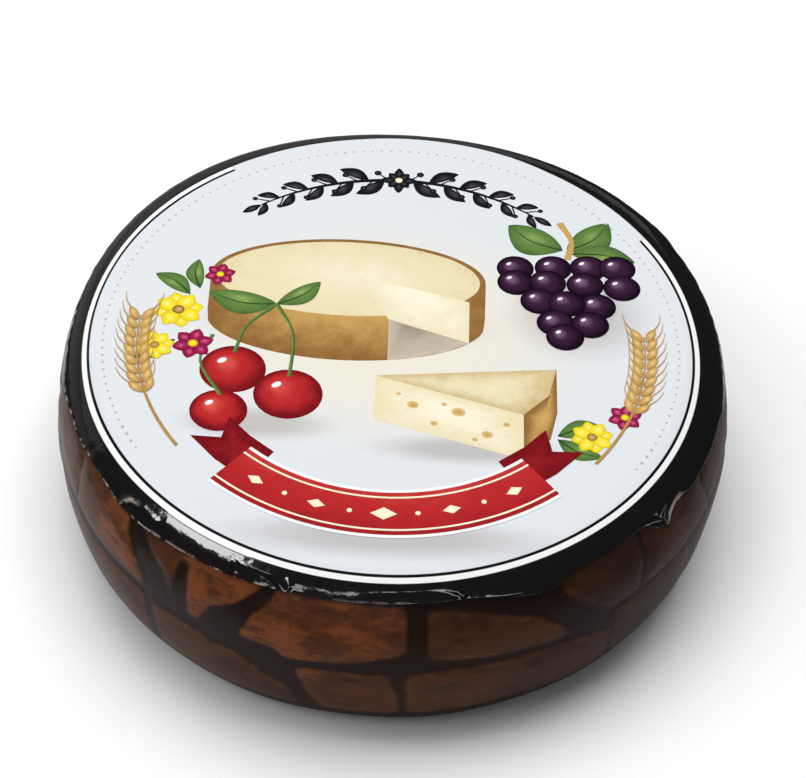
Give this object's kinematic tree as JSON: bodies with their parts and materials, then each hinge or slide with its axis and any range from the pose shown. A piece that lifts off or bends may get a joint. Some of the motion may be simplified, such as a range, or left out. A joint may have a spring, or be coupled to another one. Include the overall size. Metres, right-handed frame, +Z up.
{
  "type": "hard cheese wheel",
  "caption": "Whole round hard cheese with a dark net-marked rind, convex sides and a large round printed label folded over its top shoulder.",
  "frame": {"origin": "centre of the resting face, on the surface the wheel lies on", "axes": "+Z up through the wheel to the label, -Y toward the side that the picture shows"},
  "size_m": [0.2935, 0.2992, 0.088],
  "materials": {
    "rind": "smooth dark rind with brown pads between near-black net marks, under a thin glossy coating",
    "label": "glossy coated paper, pale disc with a printed picture and a black border"
  },
  "bodies": {
    "root": {"cheese_wheel": "rind", "top_label": "label"}
  },
  "joints": []
}
